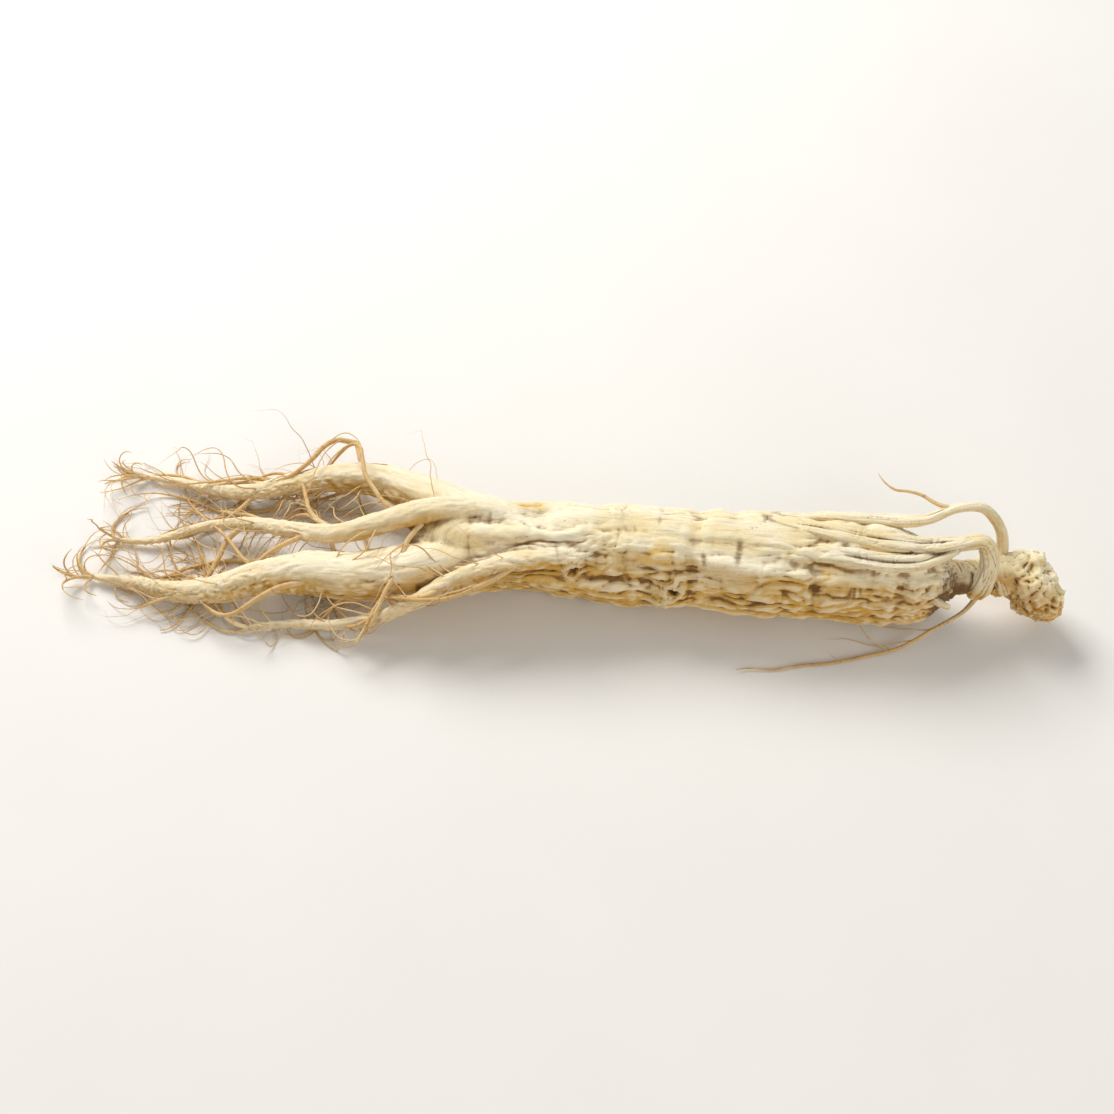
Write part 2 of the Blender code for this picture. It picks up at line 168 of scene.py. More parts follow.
# Scars where a root or a stem came off: (x, y, z) on the surface, radius of the rim, height of the rim.
SCARS = [
    (0.0229, -0.0123, 0.0145, 0.0026, 0.0012),
    (0.0204, -0.0122, 0.0104, 0.0017, 0.0007),
    (-0.0030, -0.0105, 0.0185, 0.0022, 0.0008),
    (0.0340, 0.0125, 0.0165, 0.0020, 0.0006),
    (0.0080, 0.0050, 0.0232, 0.0021, 0.0006),
    (0.0747, -0.0062, 0.0238, 0.0011, 0.0006),
    (0.0442, -0.0096, 0.0205, 0.0010, 0.0004),
    (-0.0480, -0.0150, 0.0140, 0.0015, 0.0005),
]
STEM_CUPS = [
    (0.1256, -0.0026, 0.0104, 0.0036), (0.1204, 0.0066, 0.0186, 0.0032),
    (0.1196, -0.0086, 0.0052, 0.0030),
]
# Short brown ring marks: x, the angle round the body from +Y towards +Z and half the arc, both in degrees,
# then width and strength.
RING_MARKS = [
    (0.0291, 124, 9, 0.00085, 0.80),
    (0.0380, 112, 17, 0.00095, 0.85),
    (0.0424, 186, 11, 0.00070, 0.50),
    (0.0574, 167, 9, 0.00080, 0.50),
    (0.0672, 148, 7, 0.00045, 0.75),
    (0.0683, 151, 9, 0.00050, 0.80),
    (0.0694, 147, 6, 0.00045, 0.65),
    (0.0790, 164, 13, 0.00100, 0.40),
    (0.0100, 146, 8, 0.00070, 0.50),
    (-0.0072, 128, 10, 0.00060, 0.50),
    (0.0440, 60, 12, 0.00070, 0.60),
    (0.0180, 78, 9, 0.00060, 0.50),
]
# Amber stains: (x, y, z) and how far they reach.
STAINS = [
    (0.0176, -0.0074, 0.0228, 0.0050), (0.0604, -0.0080, 0.0222, 0.0026),
    (-0.0150, 0.0060, 0.0210, 0.0042), (0.0560, 0.0100, 0.0205, 0.0040),
]

# The strands that are each two cords grown together. Over the last STRAND_FADE of their length along x
# they sink into the body's skin.
CORDED = ("arch_back", "arch_front", "low_front")
STRAND_FADE, STRAND_SINK = 0.020, 0.0019
# How far apart the cords of a strand lie, and how thick each is, as shares of the strand's radius.
CORD_GAPS_AND_SIZES = ((-0.66, 0.74), (0.56, 0.82))
TRUNK_VOXEL, CROWN_VOXEL, STRAND_VOXEL = 0.00039, 0.00023, 0.00026
BODY_SIDES, LEG_SIDES, CROWN_SIDES, KNOB_SIDES, STRAND_SIDES = 120, 40, 48, 32, 20
ROOTLET_SIDES, FINE_SIDES = 8, 5
# The height of the body's middle line, and the radius that counts as full size for the skin's wrinkles.
AXIS_HEIGHT, FULL_RADIUS = 0.0125, 0.0125
# Where the trunk is parted into body and legs, and where its wrinkles fade out on the neck.
PARTING = -0.0345
SHOULDER_END = (0.0945, 0.0975)
# Where the crown's bark begins on the neck.
HEAD_START = (0.1055, 0.1125)
# Where the recess between the shoulder and the neck begins to be painted dark as in shade, where that painted
# shade has ended on the neck, and how much of it is painted into the brown marks.
NECK_SHADE, NECK_LIT = (0.0900, 0.0950), (0.0965, 0.1055)
PAINTED_RECESS_SHADE = 0.72
# The way that the side of the root faces which is painted more golden and darker, partly as its own colour
# and partly as painted shade: to the front and down.
SHADED_GOLDEN_SIDE = np.array([0.0, -0.83, -0.56])
# Rootlets turn back past TAIL_END, and stay within HALF_SPREAD of the middle.
ROOTLET_SEED, TONE_SEED = 23, 5
TAIL_END = -0.1265
HALF_SPREAD = 0.0300
THICK_ROOTLETS = {"main": 15, "back": 13, "upper": 10, "side": 7}
FINE_ON_LEG, FINE_ON_ROOTLET = 26, 4

# Cells of the skin's noises, in mm: along the limb, then across it.
FOLD_CELL, CORD_CELL, BEAD_CELL = (34, 5.6, 5.6), (15, 2.5, 2.5), (5.4, 1.9, 1.9)
THREAD_CELL, SWAY_CELL = (10, 1.3, 1.3), (13, 7, 7)

# Colours as they show on a screen: pale, warm, gold, valley, brown and dark. Gold, valley, brown and dark are
# laid partly as the root's own colour and partly as painted shade, and pale on ridges partly as painted
# highlight.
SKIN_COLOURS = [
    (247, 238, 210), (240, 222, 174), (206, 159, 60), (162, 114, 42), (106, 70, 26), (58, 37, 15),
]
BARK_COLOURS = [
    (249, 240, 210), (238, 217, 158), (200, 150, 60), (154, 106, 38), (100, 64, 24), (54, 33, 13),
]
STAIN_COLOUR, DUST_COLOUR = (242, 198, 96), (250, 243, 224)
SKIN_STREAKS, BARK_STREAKS = 0.28, 0.20
# Rootlets: where they start, at their tips, in their rings, then two tints.
ROOTLET_COLOURS = [(226, 200, 150), (214, 176, 112), (128, 86, 44), (196, 150, 88), (240, 222, 184)]
FLOOR_COLOURS = [(236, 234, 230), (240, 239, 236)]

# The photograph's camera in the coordinates of the paths: where it stood, the way it aimed, and its roll.
PHOTO_STAND = (-0.01483, -0.26542, 0.40583)
PHOTO_AIM = (-0.10338, 0.59694, -0.79560)
PHOTO_ROLL = -2.943
LOOK_AT, LENS, SENSOR_WIDTH = (-0.002, 0.0, 0.008), 60.0, 36.0

# Lights: place, size, power in watts and colour. They face the origin.
LIGHTS = {
    "window": ((-0.46, 0.60, 0.64), (0.6, 0.45), 10.0, (1.0, 0.985, 0.96)),
    "fill": ((0.60, -0.70, 0.55), (0.8, 0.6), 3.6, (1.0, 0.95, 0.87)),
}
SURROUNDINGS_COLOUR, SURROUNDINGS_STRENGTH = (1.0, 0.985, 0.965, 1.0), 0.36
FLOOR_SIZE, FLOOR_HEIGHT = 6.0, -0.0001
NEAREST_CHUNK = 20000


def smooth_path(points, step):
    """Points about step apart on one smooth curve through the given ones, each with its radius."""
    knots = [Vector(p) for p in points]
    knots = [knots[0] * 2 - knots[1], *knots, knots[-1] * 2 - knots[-2]]
    path = [knots[1]]
    for i in range(1, len(knots) - 2):
        before, start, end, after = knots[i - 1 : i + 3]
        pieces = max(1, ceil((end - start).length / step))
        for k in range(1, pieces + 1):
            t = k / pieces
            curve = start * 2 + (end - before) * t
            curve += (before * 2 - start * 5 + end * 4 - after) * t**2
            curve += (start * 3 - before - end * 3 + after) * t**3
            path.append(curve / 2)
    return np.array([tuple(p) for p in path])


class Limb:
    """A path with its length so far and a frame that doesn't twist, at closely spaced samples."""

    def __init__(self, path, start=0.0, backwards=False):
        self.centre, self.radius = path[:, :3], path[:, 3]
        self.tangent = unit(np.gradient(self.centre, axis=0))
        steps = np.linalg.norm(np.diff(self.centre, axis=0), axis=1)
        self.length = np.concatenate([[0.0], np.cumsum(steps)])
        self.s = start + (-self.length if backwards else self.length)
        side = np.array([0.0, 1.0, 0.0])
        if abs(self.tangent[0] @ side) > 0.9:
            side = np.array([0.0, 0.0, 1.0])
        self.side = np.empty_like(self.centre)
        for i, t in enumerate(self.tangent):
            side = side - t * (side @ t)
            side /= np.linalg.norm(side)
            self.side[i] = side
        self.up = np.cross(self.tangent, self.side)
        if backwards:
            self.up = -self.up


def unit(vectors):
    return vectors / np.maximum(np.linalg.norm(vectors, axis=1, keepdims=True), 1e-12)


def ring_tube(limb, sides):
    """Vertices and faces of a closed tube along a limb."""
    turn = np.arange(sides) * 2 * pi / sides
    ring = np.cos(turn)[:, None] * limb.side[:, None] + np.sin(turn)[:, None] * limb.up[:, None]
    places = limb.centre[:, None] + ring * limb.radius[:, None, None]
    count = len(limb.centre)
    vertices = np.concatenate([places.reshape(-1, 3), limb.centre[:1], limb.centre[-1:]])
    index = np.arange(count * sides).reshape(count, sides)
    after = np.roll(index, -1, axis=1)
    quads = np.stack([index[:-1], after[:-1], after[1:], index[1:]], -1).reshape(-1, 4)
    first, last = count * sides, count * sides + 1
    caps = [(first, b, a) for a, b in zip(index[0], after[0])]
    caps += [(last, a, b) for a, b in zip(index[-1], after[-1])]
    return vertices, [tuple(q) for q in quads.tolist()] + [tuple(int(v) for v in c) for c in caps]


def new_object(name, data):
    obj = bpy.data.objects.new(name, data)
    bpy.context.scene.collection.objects.link(obj)
    return obj


def make_object(name, parts):
    """One mesh object from several (vertices, faces)."""
    vertices, faces, used = [], [], 0
    for places, polygons in parts:
        vertices.append(places)
        faces += [tuple(v + used for v in polygon) for polygon in polygons]
        used += len(places)
    mesh = bpy.data.meshes.new(name)
    mesh.from_pydata(np.concatenate(vertices).tolist(), [], faces)
    mesh.update()
    return new_object(name, mesh)


def outward(obj):
    """Turns every face to point out of its own closed shell."""
    shell = bmesh.new()
    shell.from_mesh(obj.data)
    bmesh.ops.recalc_face_normals(shell, faces=shell.faces)
    shell.to_mesh(obj.data)
    shell.free()


def fuse(obj, voxel):
    """Replaces overlapping closed tubes with one skin over them all."""
    modifier = obj.modifiers.new("skin", "REMESH")
    modifier.mode = "VOXEL"
    modifier.voxel_size = voxel
    modifier.use_smooth_shade = True
    graph = bpy.context.evaluated_depsgraph_get()
    graph.update()
    mesh = bpy.data.meshes.new_from_object(obj.evaluated_get(graph))
    obj.modifiers.clear()
    obj.data = mesh


def places_of(mesh):
    flat = np.empty(len(mesh.vertices) * 3, np.float32)
    mesh.vertices.foreach_get("co", flat)
    return flat.reshape(-1, 3).astype(float)


def set_places(mesh, places):
    mesh.vertices.foreach_set("co", places.astype(np.float32).ravel())
    mesh.update()


def normals_of(mesh):
    flat = np.empty(len(mesh.vertices) * 3, np.float32)
    mesh.vertex_normals.foreach_get("vector", flat)
    return flat.reshape(-1, 3).astype(float)


def relax(mesh, places, weight, rounds):
    """Moves each vertex towards the mean of its neighbours, by its weight, several times."""
    flat = np.empty(len(mesh.edges) * 2, np.int32)
    mesh.edges.foreach_get("vertices", flat)
    a, b = flat.reshape(-1, 2).T
    count = np.bincount(a, minlength=len(places)) + np.bincount(b, minlength=len(places))
    weight = np.broadcast_to(weight, len(places))[:, None]
    for _ in range(rounds):
        mean = np.empty_like(places)
        for axis in range(3):
            total = np.bincount(a, places[b, axis], len(places))
            total += np.bincount(b, places[a, axis], len(places))
            mean[:, axis] = total / np.maximum(count, 1)
        places = places + (mean - places) * weight
    return places


def grow_together(name, tubes, voxel, rounds):
    """Overlapping closed tubes as one smoothed skin: the object, and the places of its vertices."""
    obj = make_object(name, tubes)
    outward(obj)
    fuse(obj, voxel)
    places = relax(obj.data, places_of(obj.data), 0.5, rounds)
    set_places(obj.data, places)
    return obj, places


def hollowness(mesh, places, rounds, depth):
    """How deep each place lies under the surface around it, in depths: 1 in a hollow, -1 on a ridge."""
    mean = relax(mesh, places, 0.5, rounds)
    return np.clip(np.einsum("ij,ij->i", mean - places, normals_of(mesh)) / depth, -1, 1)


def keep_float(mesh, name, values):
    mesh.attributes.new(name, "FLOAT", "POINT").data.foreach_set("value", values.astype(np.float32))


def keep_vector(mesh, name, values):
    made = mesh.attributes.new(name, "FLOAT_VECTOR", "POINT")
    made.data.foreach_set("vector", values.astype(np.float32).ravel())


def keep_looks(mesh, grain, **values):
    """Keeps what the skin's material reads at each vertex. What isn't given is 0."""
    for name in ("crease", "relief", "mark", "hollow", "stain", "low", "thin"):
        keep_float(mesh, name, np.broadcast_to(values.get(name, 0.0), len(mesh.vertices)))
    keep_vector(mesh, "grain", grain)


NOISE_TABLE = np.random.default_rng(7).permutation(256)
NOISE_WAYS = unit(np.random.default_rng(11).normal(size=(256, 3)))


def perlin(places, scale, seed=0):
    """Smooth noise of about -1 to 1 at (n, 3) places, whose cells are scale long along each axis."""
    p = places / np.asarray(scale, float) + np.array([17.3, 5.9, 11.7]) * (seed + 1)
    cell = np.floor(p).astype(np.int64)
    f = p - cell
    fade = f**3 * (f * (f * 6 - 15) + 10)
    total = np.zeros(len(p))
    for corner in np.ndindex(2, 2, 2):
        x, y, z = (cell + corner).T
        h = NOISE_TABLE[(NOISE_TABLE[(NOISE_TABLE[x & 255] + y) & 255] + z + seed) & 255]
        share = np.prod(np.where(corner, fade, 1 - fade), axis=1)
        total += share * np.einsum("ij,ij->i", NOISE_WAYS[h], f - corner)
    return total * 1.7


def groove(values, width):
    """1 along the lines where the values pass zero, and 0 away from them."""
    return np.exp(-((values / width) ** 2))


def ramp(values, low, high):
    """0 below low, 1 above high, with a smooth rise between."""
    t = np.clip((values - low) / (high - low), 0, 1)
    return t * t * (3 - 2 * t)


def nearest_sample(limb, places):
    """The index of the limb's sample that is nearest to each place."""
    near = np.empty(len(places), int)
    for i in range(0, len(places), NEAREST_CHUNK):
        p = places[i : i + NEAREST_CHUNK]
        near[i : i + NEAREST_CHUNK] = ((limb.centre**2).sum(1)[None] - 2 * p @ limb.centre.T).argmin(1)
    return near


def nearest_gap(limb, places):
    """The distance from each place to the limb's surface."""
    near = nearest_sample(limb, places)
    return np.linalg.norm(places - limb.centre[near], axis=1) - limb.radius[near]


def along_limbs(limbs, places, softness):
    """For each place, from the limbs near it: (s, side, up), the radius, and how evenly two limbs share."""
    gaps, spots, radii = [], [], []
    for limb in limbs:
        near = nearest_sample(limb, places)
        off = places - limb.centre[near]
        lead = np.einsum("ij,ij->i", off, limb.tangent[near])
        side = np.einsum("ij,ij->i", off, limb.side[near])
        up = np.einsum("ij,ij->i", off, limb.up[near])
        onward = np.sign(limb.s[-1] - limb.s[0])
        spots.append(np.stack([limb.s[near] + onward * lead, side, up], 1))
        gaps.append(np.linalg.norm(off, axis=1) - limb.radius[near])
        radii.append(limb.radius[near])
    gaps = np.array(gaps)
    share = np.exp(-(gaps - gaps.min(0)) / softness)
    share /= share.sum(0)
    spot = np.einsum("ln,lnk->nk", share, np.array(spots))
    radius = (share * np.array(radii)).sum(0)
    return spot, radius, 1 - share.max(0)


def ring_grooves(x, angle):
    """How deep the solid's rings are here. Each runs part of the way round, a little off square."""
    depth = 0.0
    for i, ring in enumerate(SHOULDER_RINGS + BODY_RINGS):
        centre = ring + 0.0012 * np.sin(angle + 2.1 * i)
        reach = np.clip(0.45 + 0.75 * np.cos(angle - 1.9 * i - 0.8), 0, 1)
        depth = depth + reach * groove(x - centre, RING_WIDTH)
    return np.minimum(depth, 1.0)


def body_relief(x, angle):
    """Height of the solid's skin above the round body: lumps, folds and rings, calmer underneath."""
    y, z = np.cos(angle), np.sin(angle)
    lumps = [noise.noise(Vector(p)) for p in zip(x / LUMP_LENGTH, 1.1 * y, 1.1 * z)]
    folds = [noise.noise(Vector(p)) for p in zip(x / FOLD_LENGTH + 7.0, FOLDS_ROUND * y, FOLDS_ROUND * z)]
    height = LUMP_HEIGHT * np.array(lumps) + FOLD_HEIGHT * np.array(folds)
    height -= RING_DEPTH * ring_grooves(x, angle)
    return height * (1.0 - 0.8 * groove(np.arctan2(y, -z), REST_ANGLE_SPREAD))


def body_tube():
    """The body with the solid's relief on it, at a finer spacing."""
    limb = Limb(smooth_path(BODY, 0.0010))
    places, faces = ring_tube(limb, BODY_SIDES)
    rings = places[:-2].reshape(-1, BODY_SIDES, 3)
    out = rings - limb.centre[:, None]
    angle = np.arctan2(out[..., 2], out[..., 1])
    height = body_relief(rings[..., 0].ravel(), angle.ravel()).reshape(angle.shape)
    height *= np.clip(limb.radius / 0.004 - 1.5, 0, 1)[:, None]
    rings += out / np.linalg.norm(out, axis=2, keepdims=True) * height[..., None]
    return places, faces


def scar_relief(places, scars):
    """Puckered rims round small hollows: height in metres, how far in a hollow each place is, and folds."""
    height, hollow, folds = np.zeros(len(places)), np.zeros(len(places)), np.zeros(len(places))
    for x, y, z, radius, rim in scars:
        near = np.linalg.norm(places - (x, y, z), axis=1) < 4 * radius
        away = (places[near] - (x, y, z)) / radius
        out = np.array([0.0, y, z - AXIS_HEIGHT]) / np.hypot(y, z - AXIS_HEIGHT)
        across = np.cross(out, (1.0, 0.0, 0.0))
        distance = np.linalg.norm(away, axis=1) + 0.30 * perlin(away, 0.8, 91)
        turn = np.arctan2(away @ across, away[:, 0] * 0.8)
        spokes, arcs = [
            ridged(perlin(np.stack([a * np.cos(turn), a * np.sin(turn), b * distance], 1), 1.0, seed), 0.06)
            for a, b, seed in ((2.3, 0.5, 92), (1.1, 2.6, 93))]
        skirt = groove(distance, 1.7)
        shape = 0.55 * skirt + 0.75 * groove(distance - 0.8, 0.42) - 1.5 * groove(distance, 0.48)
        height[near] += rim * (shape + skirt * (0.75 * (spokes - 0.25) + 0.65 * (arcs - 0.25)))
        # How far in a hollow each place is: painted dark later, partly as the scar's own dark core, partly as
        # painted shade.
        hollow[near] = np.maximum(hollow[near], min(1, rim / 0.0012) * groove(distance, 0.44))
        valleys = np.maximum(1 - spokes / 0.16, 1 - arcs / 0.16)
        folds[near] = np.maximum(folds[near], np.clip(valleys, 0, 1) * skirt)
    return height, hollow, folds


def skin_relief(spot, radius):
    """Wrinkles and rings of the dried skin: height in metres, and how far each place is on a ring line."""
    q = spot / MM
    size = np.clip(radius / FULL_RADIUS, 0.12, 1.0)
    toward = q[:, 1:] / (radius / MM)[:, None]
    sway = np.stack([np.zeros(len(q)), perlin(q, SWAY_CELL, 1), perlin(q, SWAY_CELL, 2)], 1)
    bent = q + 1.7 * size[:, None] * sway
    rough = ramp(perlin(q, (24, 9, 9), 3) - 0.50 * toward[:, 0] - 0.36 * toward[:, 1], -0.40, 0.45)
    fine = np.sqrt(size)[:, None]

    folds = ridged(perlin(bent, FOLD_CELL, 24), 0.10)
    cords = ridged(perlin(bent / fine, CORD_CELL, 5), 0.13)
    beads = ridged(perlin(bent / fine, BEAD_CELL, 6), 0.15)
    swell = 0.45 + 0.90 * ramp(perlin(q / fine, (9, 4.5, 4.5), 18), -0.25, 0.45)
    threads = groove(perlin(bent / fine, THREAD_CELL, 7), 0.16)
    tilt = q[:, 0] + 1.2 * perlin(q, (30, 8, 8), 8)
    square = np.stack([tilt, q[:, 1], q[:, 2]], 1)
    ring = groove(perlin(square, (4.0, 12, 12), 9), 0.18) * ramp(perlin(q, (8, 6, 6), 10), 0.10, 0.45)
    shoulder = ramp(q[:, 0], 60, 84)
    fine_arcs = ramp(perlin(q, (10, 5, 5), 13) + 0.20 * shoulder, 0.10, 0.45)
    fine_ring = groove(perlin(square, (1.7, 10, 10), 12), 0.30) * fine_arcs
    pits = ramp(perlin(q, (1.7, 1.2, 1.2), 16), 0.62, 0.82)

    corded = 0.28 + 0.50 * (1 - size)
    corded += (1 - corded) * rough
    height = 1.10 * (folds - 0.26) + 1.30 * (cords - 0.27) * corded * swell
    height += 1.05 * (beads - 0.28) * (0.10 + 0.90 * rough) * (1.8 - swell)
    height -= 0.09 * threads + 0.22 * ring + (0.05 + 0.08 * shoulder) * fine_ring + 0.16 * pits
    cracks = groove(perlin(square, (2.4, 5, 5), 26), 0.12)
    height += rough * (0.16 * perlin(q, (2.2, 1.1, 1.1), 25) - 0.10 * cracks)
    height += 0.05 * perlin(q, (0.9, 0.9, 0.9), 17)
    on_ring = np.clip(0.3 * ring + (0.10 + 0.25 * shoulder) * fine_ring, 0, 1)
    return height * MM * (0.42 + 0.58 * size), on_ring


def ridged(values, softness):
    """Rounded ridges with a narrow valley along each zero of the noise."""
    return np.sqrt(values**2 + softness**2) - softness * 0.5


def ring_marks(places):
    """How far each place is on one of the separate brown ring marks of the body."""
    mark = np.zeros(len(places))
    angle = np.arctan2(places[:, 2] - AXIS_HEIGHT, places[:, 1])
    uneven = 1 + 0.5 * perlin(places, (0.0012, 0.0009, 0.0009), 19)
    for x, degrees, arc, width, strength in RING_MARKS:
        turn = (angle - radians(degrees) + pi) % (2 * pi) - pi
        centre = x + 0.0004 * np.sin(5 * turn + x * 900) + 0.0008 * turn
        line = groove(places[:, 0] - centre, width * uneven) * np.exp(-((turn / radians(arc)) ** 4))
        mark = np.maximum(mark, strength * line)
    return mark


def rest_on_floor(places):
    """Presses flat what would reach under the floor."""
    places[:, 2] = np.maximum(places[:, 2], 0.0)
    return places


def strand_path(name, points, step):
    """The path of a strand, whose far end sinks into the body if it lies on it."""
    path = smooth_path(points, step)
    if name not in CORDED:
        return path
    far = 1 - ramp(path[:, 0], points[-1][0], points[-1][0] + STRAND_FADE)
    path = beside(path, np.zeros(len(path)), -STRAND_SINK * far)
    if name == "low_front":
        path[:, 3] *= 0.30 + 0.70 * ramp(-path[:, 0], -points[0][0], 0.0070 - points[0][0])
    return path


def strand_limbs():
    """The strands from the neck, those along the body each as two cords grown together."""
    limbs = []
    for name, points in STRANDS.items():
        path = strand_path(name, points, 0.0005)
        if name not in CORDED:
            limbs.append(Limb(path))
            continue
        apart = 0.30 + 0.70 * ramp(-path[:, 0], -0.099, -0.087)
        for gap, size in CORD_GAPS_AND_SIZES:
            cord = beside(path, apart * gap * path[:, 3], -0.22 * apart * path[:, 3])
            cord[:, 3] *= 1 - (1 - size) * apart
            limbs.append(Limb(cord))
    return limbs


def under_strands(places):
    """How close each place is to a strand, from 0 to 1, and how close it is to a strand's edge, where painted
    shade goes.
    """
    near, edge = np.zeros(len(places)), np.zeros(len(places))
    for name in CORDED:
        limb = Limb(strand_path(name, STRANDS[name], 0.0010))
        gap = nearest_gap(limb, places)
        near = np.maximum(near, 1 - ramp(gap, -0.0005, 0.0016))
        edge = np.maximum(edge, groove(gap - 0.0004, 0.0005))
    return near, edge * ramp(perlin(places, (0.0060, 0.0030, 0.0030), 28), -0.30, 0.30)


def half_of(obj, name, x, keep_above):
    """The part of a closed mesh on one side of a plane across x, closed again, with a sharp rim."""
    shell = bmesh.new()
    shell.from_mesh(obj.data)
    cut = bmesh.ops.bisect_plane(
        shell, geom=shell.verts[:] + shell.edges[:] + shell.faces[:], plane_co=(x, 0, 0),
        plane_no=(1, 0, 0), clear_inner=keep_above, clear_outer=not keep_above)
    rim = [e for e in cut["geom_cut"] if isinstance(e, bmesh.types.BMEdge)]
    bmesh.ops.holes_fill(shell, edges=rim, sides=0)
    for edge in rim:
        edge.smooth = False
    mesh = bpy.data.meshes.new(name)
    shell.to_mesh(mesh)
    shell.free()
    return new_object(name, mesh)


def neck_shade(places, low):
    """How strongly the shade between shoulder and neck darkens each place: unevenly, and most in front."""
    return (0.45 + 0.75 * low) * (0.85 + 0.45 * perlin(places, (0.0016, 0.0030, 0.0030), 27))


def make_trunk():
    """The body and its legs as one skin, wrinkled, and then parted into two pieces."""
    limbs = [Limb(smooth_path(points, 0.0005), start=points[0][0], backwards=True)
             for points in (BODY, *LEGS.values())]
    tubes = [ring_tube(Limb(smooth_path(points, 0.0012)), LEG_SIDES) for points in LEGS.values()]
    trunk, places = grow_together("trunk", [body_tube()] + tubes, TRUNK_VOXEL, 4)
    _, _, shared = along_limbs(limbs, places, 0.0016)
    places = relax(trunk.data, places, np.clip(shared * 2.2, 0, 0.9), 40)
    set_places(trunk.data, places)
    spot, radius, shared = along_limbs(limbs, places, 0.0016)
    height, line = skin_relief(spot, radius)
    mark = ring_marks(places)
    bump, hollow, folds = scar_relief(places, SCARS)
    crotch = ramp(shared, 0.25, 0.5)
    near, edge = under_strands(places)
    height = height * (1 - 0.6 * near) + 0.0005 * near
    height += bump - 0.00022 * mark - 0.0004 * crotch
    height *= 1 - ramp(places[:, 0], *SHOULDER_END)
    round_out = normals_of(trunk.data)
    places = rest_on_floor(places + round_out * height[:, None])
    set_places(trunk.data, places)
    sharp = np.maximum(hollowness(trunk.data, places, 5, 0.00012), 0)
    broad = hollowness(trunk.data, places, 60, 0.00042)
    stain = np.zeros(len(places))
    for x, y, z, size in STAINS:
        distance = np.linalg.norm(places - (x, y, z), axis=1) / size + 0.7 * perlin(places, 0.0035, 21)
        stain = np.maximum(stain, 1 - ramp(distance, 0.2, 1.1))
    end_face = ramp(places[:, 0], 0.0830, 0.0900) * ramp(round_out[:, 0], 0.25, 0.75)
    # Painted shade, partly the skin's own colour: the front and lower side is painted more golden and darker.
    low = ramp(round_out @ SHADED_GOLDEN_SIDE, -0.35, 0.75)
    # Painted shade: the recess between shoulder and neck, with the shoulder's end face towards it, is painted
    # dark, most in front. It goes into both the creases and the marks.
    recess = np.maximum(ramp(places[:, 0], *NECK_SHADE), end_face)
    recess = np.clip(recess * neck_shade(places, low), 0, 1)
    # Creases painted brown: partly the skin's own colour in its furrows, rings and scar folds, partly painted
    # shade in the hollows, between the legs, along the strands' edges and in the recess.
    crease = 0.40 * sharp + 0.3 * crotch + 0.60 * edge + 0.3 * line + 0.6 * folds + recess
    keep_looks(trunk.data, spot, crease=np.clip(crease, 0, 1), relief=broad, low=low, hollow=hollow,
               stain=stain, mark=np.maximum(mark, PAINTED_RECESS_SHADE * recess),
               thin=1 - np.clip(radius / 0.009, 0, 1))
    halves = [half_of(trunk, "body", PARTING, True), half_of(trunk, "legs", PARTING, False)]
    bpy.data.objects.remove(trunk)
    return halves


def flakes(places, size, seed):
    """Height, from about -1 to 1, of tilted plates that overlap along ragged borders."""
    rng = np.random.default_rng(seed)
    low, high = places.min(0) - size, places.max(0) + size
    counts = np.ceil((high - low) / size).astype(int)
    cells = np.stack(np.meshgrid(*[np.arange(n) for n in counts], indexing="ij"), -1).reshape(-1, 3)
    seeds = low + (cells + rng.uniform(0.1, 0.9, cells.shape)) * size
    tilt = rng.normal(0, 0.55, cells.shape)
    rise = rng.uniform(-0.7, 0.7, len(cells))
    warped = places + 0.35 * size * np.stack([perlin(places, size, seed + k) for k in range(3)], 1)
    tree = kdtree.KDTree(len(seeds))
    for i, spot in enumerate(seeds):
        tree.insert(spot, i)
    tree.balance()
    nearest = np.array([tree.find(spot)[1] for spot in warped])
    return rise[nearest] + np.einsum("ij,ij->i", tilt[nearest], (warped - seeds[nearest]) / size)


def crown_relief(places):
    """Height in metres of the crown's bark: lumps with ragged plates, and gnarled ridges."""
    q = places / MM
    sway = 0.9 * np.stack([perlin(q, 3.2, 35 + k) for k in range(3)], 1)
    bent = q + sway
    lumps = ridged(perlin(bent, 5.2, 37), 0.05)
    ridges = 1 - ridged(perlin(bent, 2.6, 38), 0.04) / 0.6
    small = 1 - ridged(perlin(bent, 1.25, 39), 0.06) / 0.6
    rough = ramp(perlin(q, 6.0, 40) - 0.06 * (q[:, 2] - AXIS_HEIGHT / MM), -0.6, 0.3)
    height = 1.5 * (lumps - 0.30) + rough * (0.85 * (ridges - 0.6) + 0.35 * (small - 0.6))
    height += 0.30 * flakes(places, 0.0024, 61) + 0.06 * perlin(q, 0.6, 43)
    return height * MM


def hollow_cups(places, normals):
    """Raises a rim round each stem scar and presses it in as a cup. Says how deep, and where the rims are."""
    deep, rims = np.zeros(len(places)), np.zeros(len(places))
    wobble = 1 + 0.12 * perlin(places, 0.0022, 41) + 0.07 * perlin(places, 0.0008, 44)
    for *middle, radius in STEM_CUPS:
        gap = np.linalg.norm(places - middle, axis=1) / (radius * wobble)
        rims = np.maximum(rims, groove(gap - 1.10, 0.16))
    places = places + normals * (0.0007 * rims)[:, None]
    for *middle, radius in STEM_CUPS:
        away = places - middle
        distance, reach = np.linalg.norm(away, axis=1), radius * wobble
        inside = distance < reach
        places[inside] = middle + away[inside] / distance[inside, None] * reach[inside, None]
        deep = np.maximum(deep, ramp(reach - distance, 0.0, 0.0010))
    return places, deep, rims


